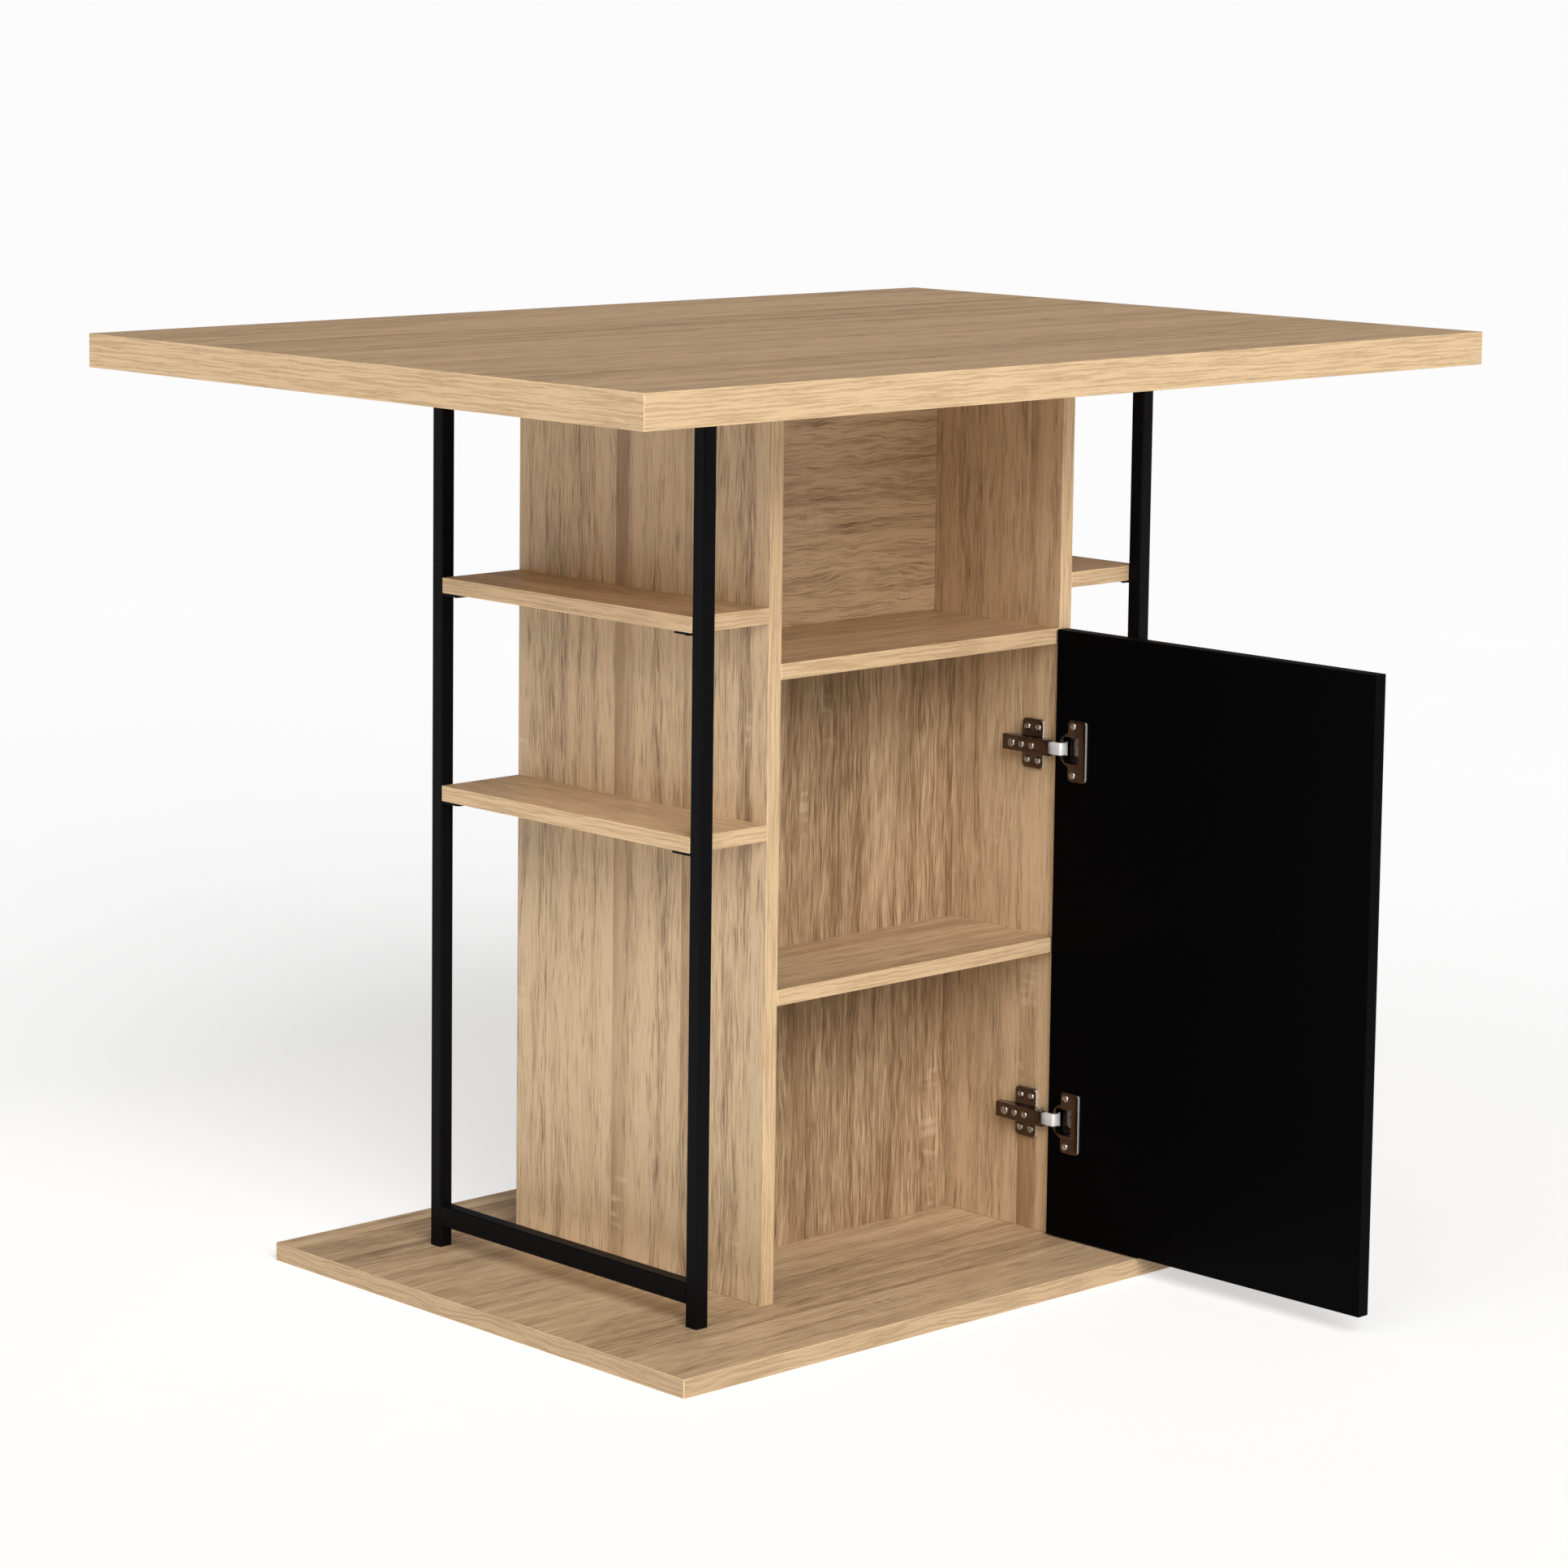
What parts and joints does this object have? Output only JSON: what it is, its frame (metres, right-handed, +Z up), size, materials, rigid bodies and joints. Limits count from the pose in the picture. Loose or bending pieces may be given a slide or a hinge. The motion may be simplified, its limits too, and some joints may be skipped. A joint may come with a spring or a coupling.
{
  "type": "kitchen island",
  "caption": "Kitchen island on a base plate: open niche over a cupboard with a hinged door, side shelves in black steel side frames, wide overhanging tabletop.",
  "frame": {"origin": "on the floor, below the middle of the base plate", "axes": "+X along the tabletop's long side, the door side faces -Y, +Z up"},
  "size_m": [1.104, 0.9482, 0.9],
  "materials": {
    "tabletop_oak": "satin oak decor",
    "base_oak": "satin oak decor",
    "board_oak": "satin oak decor",
    "black_steel": "matt black powder coat",
    "black_screw": "black zinc",
    "zinc_steel": "zinc plated",
    "dowel_beech": "bare beech",
    "cam_zinc": "die-cast zinc",
    "hinge_nickel": "nickel plated",
    "hinge_bright": "polished nickel",
    "hinge_screw": "nickel plated",
    "door_black": "matt black laminate"
  },
  "bodies": {
    "carcase": {"tabletop": "tabletop_oak", "base_plate": "base_oak", "left_side_panel": "board_oak", "right_side_panel": "board_oak", "niche_shelf": "board_oak", "middle_shelf": "board_oak", "niche_back_panel": "board_oak", "lower_back_panel": "board_oak", "left_upper_shelf": "board_oak", "left_lower_shelf": "board_oak", "right_upper_shelf": "board_oak", "right_lower_shelf": "board_oak", "left_front_post": "black_steel", "left_rear_post": "black_steel", "right_front_post": "black_steel", "right_rear_post": "black_steel", "left_bottom_rail": "black_steel", "right_bottom_rail": "black_steel", "left_top_rail": "black_steel", "right_top_rail": "black_steel", "left_shelf_tabs": "black_steel", "right_shelf_tabs": "black_steel", "shelf_tab_screws": "black_screw", "post_foot_bolts": "zinc_steel", "top_rail_screws": "black_screw", "panel_foot_screws": "zinc_steel", "dowels": "dowel_beech", "cam_bolts": "zinc_steel", "cam_locks": "cam_zinc", "hinge_mounting_plates": "hinge_nickel", "hinge_plate_screws": "hinge_screw", "hinge_arms": "hinge_nickel", "hinge_arm_screws": "hinge_screw", "hinge_arm_pins": "hinge_screw"},
    "door": {"door": "door_black", "hinge_cups": "hinge_nickel", "hinge_cup_pins": "hinge_screw", "hinge_springs": "hinge_nickel", "hinge_cup_screws": "hinge_screw"},
    "hinge_links": {"hinge_links": "hinge_bright"}
  },
  "joints": [
    {"name": "door_hinge", "type": "hinge", "parent": "carcase", "child": "door", "pos_m": [0.1856, -0.1826, 0.3], "axis": [0, 0, 1], "range_deg": [-91, 9]},
    {"name": "link_pivot", "type": "hinge", "parent": "carcase", "child": "hinge_links", "pos_m": [0.1815, -0.164, 0.3], "axis": [0, 0, 1], "range_deg": [-14, 2]}
  ],
  "couplings": [
    {"joint": "link_pivot", "follows": "door_hinge", "ratio": 0.15}
  ]
}
